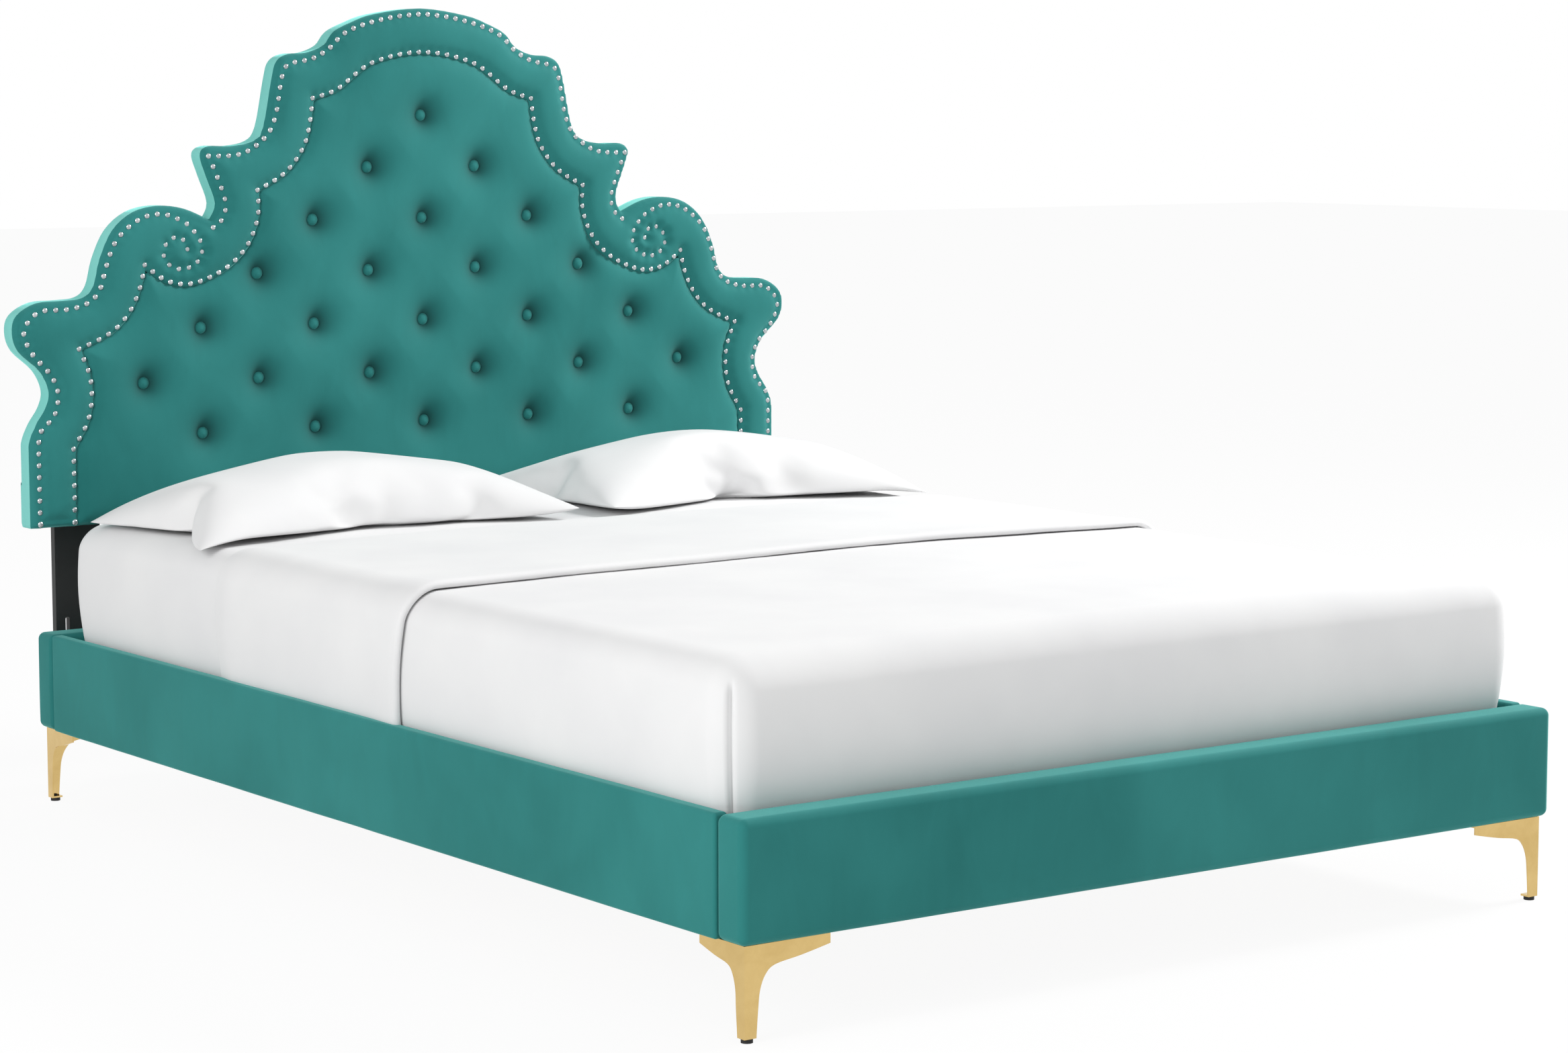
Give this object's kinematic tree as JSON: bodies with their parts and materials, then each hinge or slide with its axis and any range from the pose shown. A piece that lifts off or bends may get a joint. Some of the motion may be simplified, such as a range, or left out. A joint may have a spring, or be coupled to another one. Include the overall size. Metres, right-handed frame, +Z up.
{
  "type": "upholstered headboard bed",
  "caption": "Queen-size platform bed with a scalloped tufted velvet headboard, nailhead trim, velvet rails, gold angle legs, a made-up mattress and pillows.",
  "frame": {"origin": "centre of the footprint's bounding box, on the floor", "axes": "+Z up, -Y towards the foot of the bed, +X to the right seen from the foot"},
  "size_m": [1.694, 2.2316, 1.443],
  "materials": {
    "velvet": "smooth teal velvet",
    "velvet_light": "smooth teal velvet",
    "plywood": "bare plywood",
    "timber": "bare pine",
    "foam": "soft foam",
    "dust_cloth": "black non-woven cloth",
    "black_paint": "satin black",
    "black_plastic": "matt",
    "twine": "waxed",
    "nail_chrome": "polished",
    "zinc_steel": "zinc plated",
    "gold_metal": "polished gold plating",
    "sheet_cotton": "white cotton percale",
    "mattress_knit": "white knit ticking"
  },
  "bodies": {
    "frame": {"headboard_core": "plywood", "headboard_border_pad": "velvet", "headboard_tufted_panel": "velvet", "tufting_buttons": "velvet", "foot_rail_cover": "velvet", "head_rail_cover": "velvet", "side_rail_cover_left": "velvet", "side_rail_cover_right": "velvet", "headboard_edge_band": "velvet_light", "headboard_dust_cover": "dust_cloth", "tufting_twines": "twine", "tufting_anchors": "black_plastic", "centre_leg_glides": "black_plastic", "leg_glides": "black_plastic", "nailheads_outer": "nail_chrome", "nailheads_inner": "nail_chrome", "nailhead_scrolls": "nail_chrome", "headboard_batten_left": "timber", "headboard_batten_right": "timber", "foot_rail_core": "timber", "head_rail_core": "timber", "side_rail_core_left": "timber", "side_rail_core_right": "timber", "slat_ledge_left": "timber", "slat_ledge_right": "timber", "centre_beam": "timber", "slats": "timber", "headboard_strut_left": "black_paint", "headboard_strut_right": "black_paint", "centre_leg_foot": "black_paint", "centre_leg_middle": "black_paint", "centre_leg_head": "black_paint", "strut_headboard_bolts": "zinc_steel", "strut_headboard_tee_nuts": "zinc_steel", "strut_rail_bolts": "zinc_steel", "strut_rail_washers": "zinc_steel", "strut_rail_tee_nuts": "zinc_steel", "corner_bracket_foot_left": "zinc_steel", "corner_bracket_foot_right": "zinc_steel", "corner_bracket_head_left": "zinc_steel", "corner_bracket_head_right": "zinc_steel", "bracket_bolts": "zinc_steel", "ledge_screws": "zinc_steel", "beam_hanger_foot": "zinc_steel", "beam_hanger_head": "zinc_steel", "slat_screws": "zinc_steel", "leg_screws": "zinc_steel", "foot_rail_foam": "foam", "head_rail_foam": "foam", "gold_leg_foot_left": "gold_metal", "gold_leg_foot_right": "gold_metal", "gold_leg_head_left": "gold_metal", "gold_leg_head_right": "gold_metal"},
    "mattress": {"mattress": "mattress_knit", "fitted_sheet": "sheet_cotton", "top_sheet": "sheet_cotton"},
    "pillow_left": {"pillow_left": "sheet_cotton"},
    "pillow_right": {"pillow_right": "sheet_cotton"}
  },
  "joints": [
    {"name": "mattress_lift", "type": "slide", "parent": "frame", "child": "mattress", "axis": [0, 0, 1], "range_m": [0, 0.4]},
    {"name": "pillow_left_lift", "type": "slide", "parent": "mattress", "child": "pillow_left", "axis": [0, 0, 1], "range_m": [0, 0.3]},
    {"name": "pillow_right_lift", "type": "slide", "parent": "mattress", "child": "pillow_right", "axis": [0, 0, 1], "range_m": [0, 0.3]}
  ]
}
